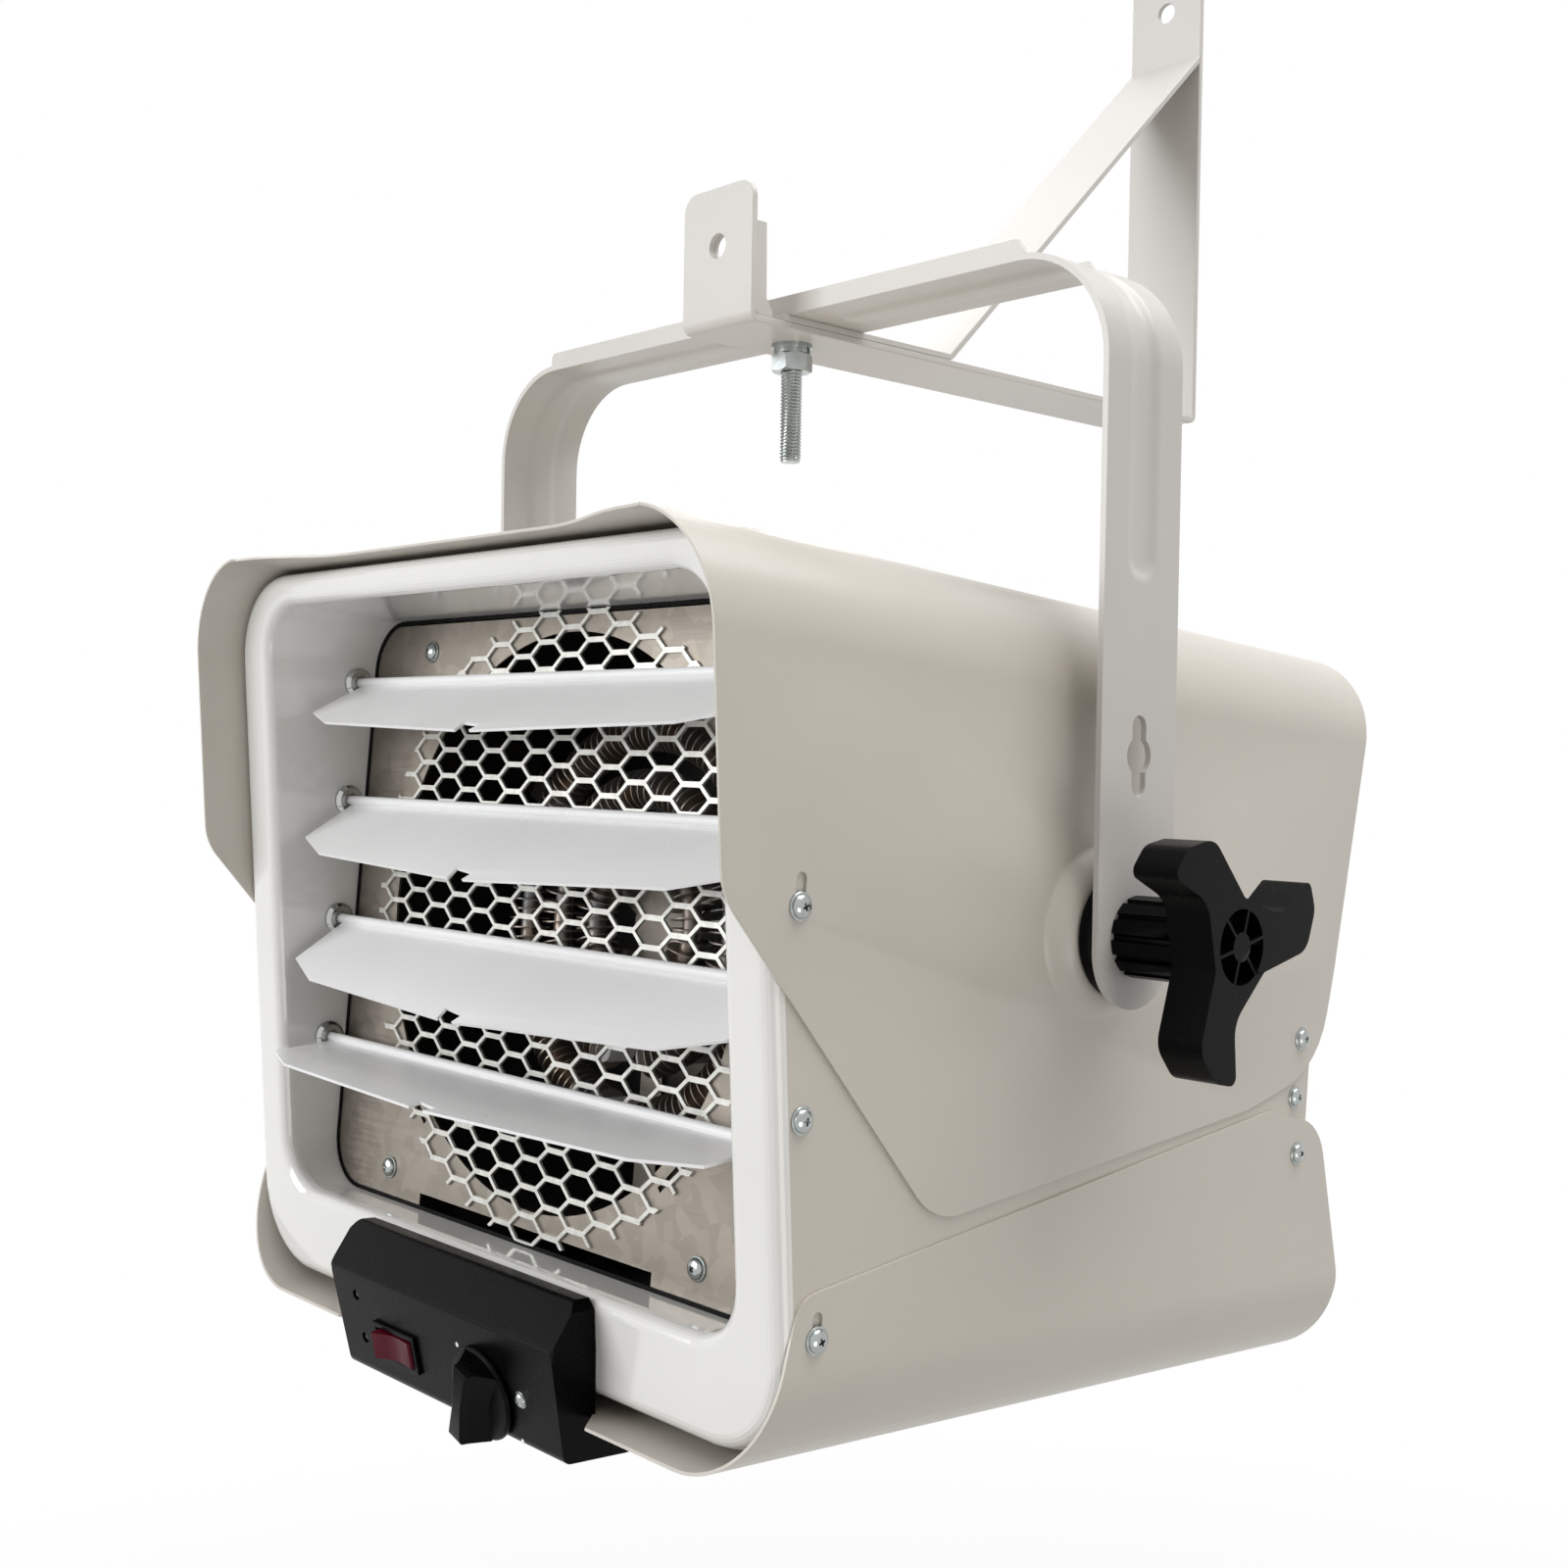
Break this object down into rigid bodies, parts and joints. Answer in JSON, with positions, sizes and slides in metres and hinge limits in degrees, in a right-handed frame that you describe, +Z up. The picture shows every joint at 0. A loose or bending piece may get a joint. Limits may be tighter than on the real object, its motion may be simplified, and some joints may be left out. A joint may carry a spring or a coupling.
{
  "type": "ceiling mounted fan heater",
  "caption": "Louvred fan heater with split sheet hoods, hung in a swivelling yoke under a braced strip bracket, with clamp knobs, a honeycomb guard, finned elements and a thermostat dial",
  "frame": {"origin": "centre of the wall strip's fixing hole, on the strip's rear face", "axes": "+Z up, +Y towards the wall, the outlet faces -Y, +X is the side the picture shows"},
  "size_m": [0.4832, 0.4823, 0.7046],
  "materials": {
    "bracket_enamel": "warm light grey stove enamel on strip steel",
    "hood_enamel": "warm light grey stove enamel on sheet steel",
    "bezel_gloss": "glossy off-white moulded front frame",
    "louvre_enamel": "light grey enamel on thin louvre sheet",
    "zinc": "bright zinc plating, slightly blue",
    "black_plastic": "black moulded plastic with a satin skin",
    "red_plastic": "dark red translucent-looking rocker",
    "lens_plastic": "dark unlit indicator lens",
    "plated_steel": "plain galvanised sheet",
    "element_steel": "heat-darkened steel sheath with spiral fins",
    "fan_aluminium": "pressed aluminium fan",
    "motor_enamel": "black motor shell",
    "ceramic": "cream steatite terminal block"
  },
  "bodies": {
    "bracket": {"ceiling_bracket": "bracket_enamel", "bracket_brace": "bracket_enamel", "tab_stiffener": "bracket_enamel", "swivel_bolt": "zinc", "swivel_flat_washer": "zinc", "swivel_spring_washer": "zinc", "swivel_nut": "zinc"},
    "yoke": {"yoke": "bracket_enamel"},
    "fan": {"fan_blades": "fan_aluminium"},
    "clamp_knob_right": {"knob_right": "black_plastic"},
    "clamp_knob_left": {"knob_left": "black_plastic"},
    "dial": {"thermostat_knob": "black_plastic"},
    "rocker": {"rocker_switch": "red_plastic"},
    "louvre_a": {"louvre_1": "louvre_enamel"},
    "louvre_b": {"louvre_2": "louvre_enamel"},
    "louvre_c": {"louvre_3": "louvre_enamel"},
    "louvre_d": {"louvre_4": "louvre_enamel"},
    "heater": {"pivot_stud_right": "zinc", "pivot_stud_left": "zinc", "friction_disc_right": "black_plastic", "friction_disc_left": "black_plastic", "top_hood": "hood_enamel", "bottom_hood": "hood_enamel", "case_shell": "hood_enamel", "front_bezel": "bezel_gloss", "louvre_eyelets": "zinc", "inner_panel": "plated_steel", "honeycomb_guard": "plated_steel", "air_duct": "plated_steel", "element_outer": "element_steel", "element_middle": "element_steel", "element_inner": "element_steel", "element_supports": "plated_steel", "fan_shroud": "plated_steel", "fan_motor": "motor_enamel", "motor_mount": "plated_steel", "rear_panel": "hood_enamel", "rear_guard": "zinc", "control_box": "black_plastic", "rocker_frame": "black_plastic", "indicator_lenses": "lens_plastic", "box_screw": "zinc", "terminal_block": "ceramic", "limit_switch": "plated_steel", "cable_gland": "black_plastic", "side_screws": "zinc", "panel_screws": "zinc"}
  },
  "joints": [
    {"name": "swivel", "type": "hinge", "parent": "bracket", "child": "yoke", "pos_m": [0, -0.2825, -0.222], "axis": [0, 0, 1], "range_deg": [-18, 18]},
    {"name": "tilt", "type": "hinge", "parent": "yoke", "child": "heater", "pos_m": [0, -0.2825, -0.4805], "axis": [1, 0, 0], "range_deg": [-25, 40]},
    {"name": "fan_spin", "type": "hinge", "parent": "heater", "child": "fan", "pos_m": [0, -0.26155, -0.49469], "axis": [0, 0.9969, -0.0785], "continuous": true},
    {"name": "clamp_right", "type": "hinge", "parent": "heater", "child": "clamp_knob_right", "pos_m": [0.215, -0.2825, -0.4805], "axis": [1, 0, 0], "continuous": true},
    {"name": "clamp_left", "type": "hinge", "parent": "heater", "child": "clamp_knob_left", "pos_m": [-0.215, -0.2825, -0.4805], "axis": [1, 0, 0], "continuous": true},
    {"name": "thermostat", "type": "hinge", "parent": "heater", "child": "dial", "pos_m": [0.0285, -0.45939, -0.6577], "axis": [0, -0.978, -0.2085], "range_deg": [-120, 150]},
    {"name": "power_rocker", "type": "hinge", "parent": "heater", "child": "rocker", "pos_m": [-0.0325, -0.45694, -0.65482], "axis": [0, -0.2085, 0.978], "range_deg": [-14, 0]},
    {"name": "louvre_a_turn", "type": "hinge", "parent": "heater", "child": "louvre_a", "pos_m": [0, -0.41236, -0.38442], "axis": [1, 0, 0], "range_deg": [-46, 39]},
    {"name": "louvre_b_turn", "type": "hinge", "parent": "heater", "child": "louvre_b", "pos_m": [0, -0.41665, -0.43895], "axis": [1, 0, 0], "range_deg": [-51, 34]},
    {"name": "louvre_c_turn", "type": "hinge", "parent": "heater", "child": "louvre_c", "pos_m": [0, -0.42095, -0.49348], "axis": [1, 0, 0], "range_deg": [-52, 33]},
    {"name": "louvre_d_turn", "type": "hinge", "parent": "heater", "child": "louvre_d", "pos_m": [0, -0.42524, -0.54801], "axis": [1, 0, 0], "range_deg": [-24, 61]}
  ]
}
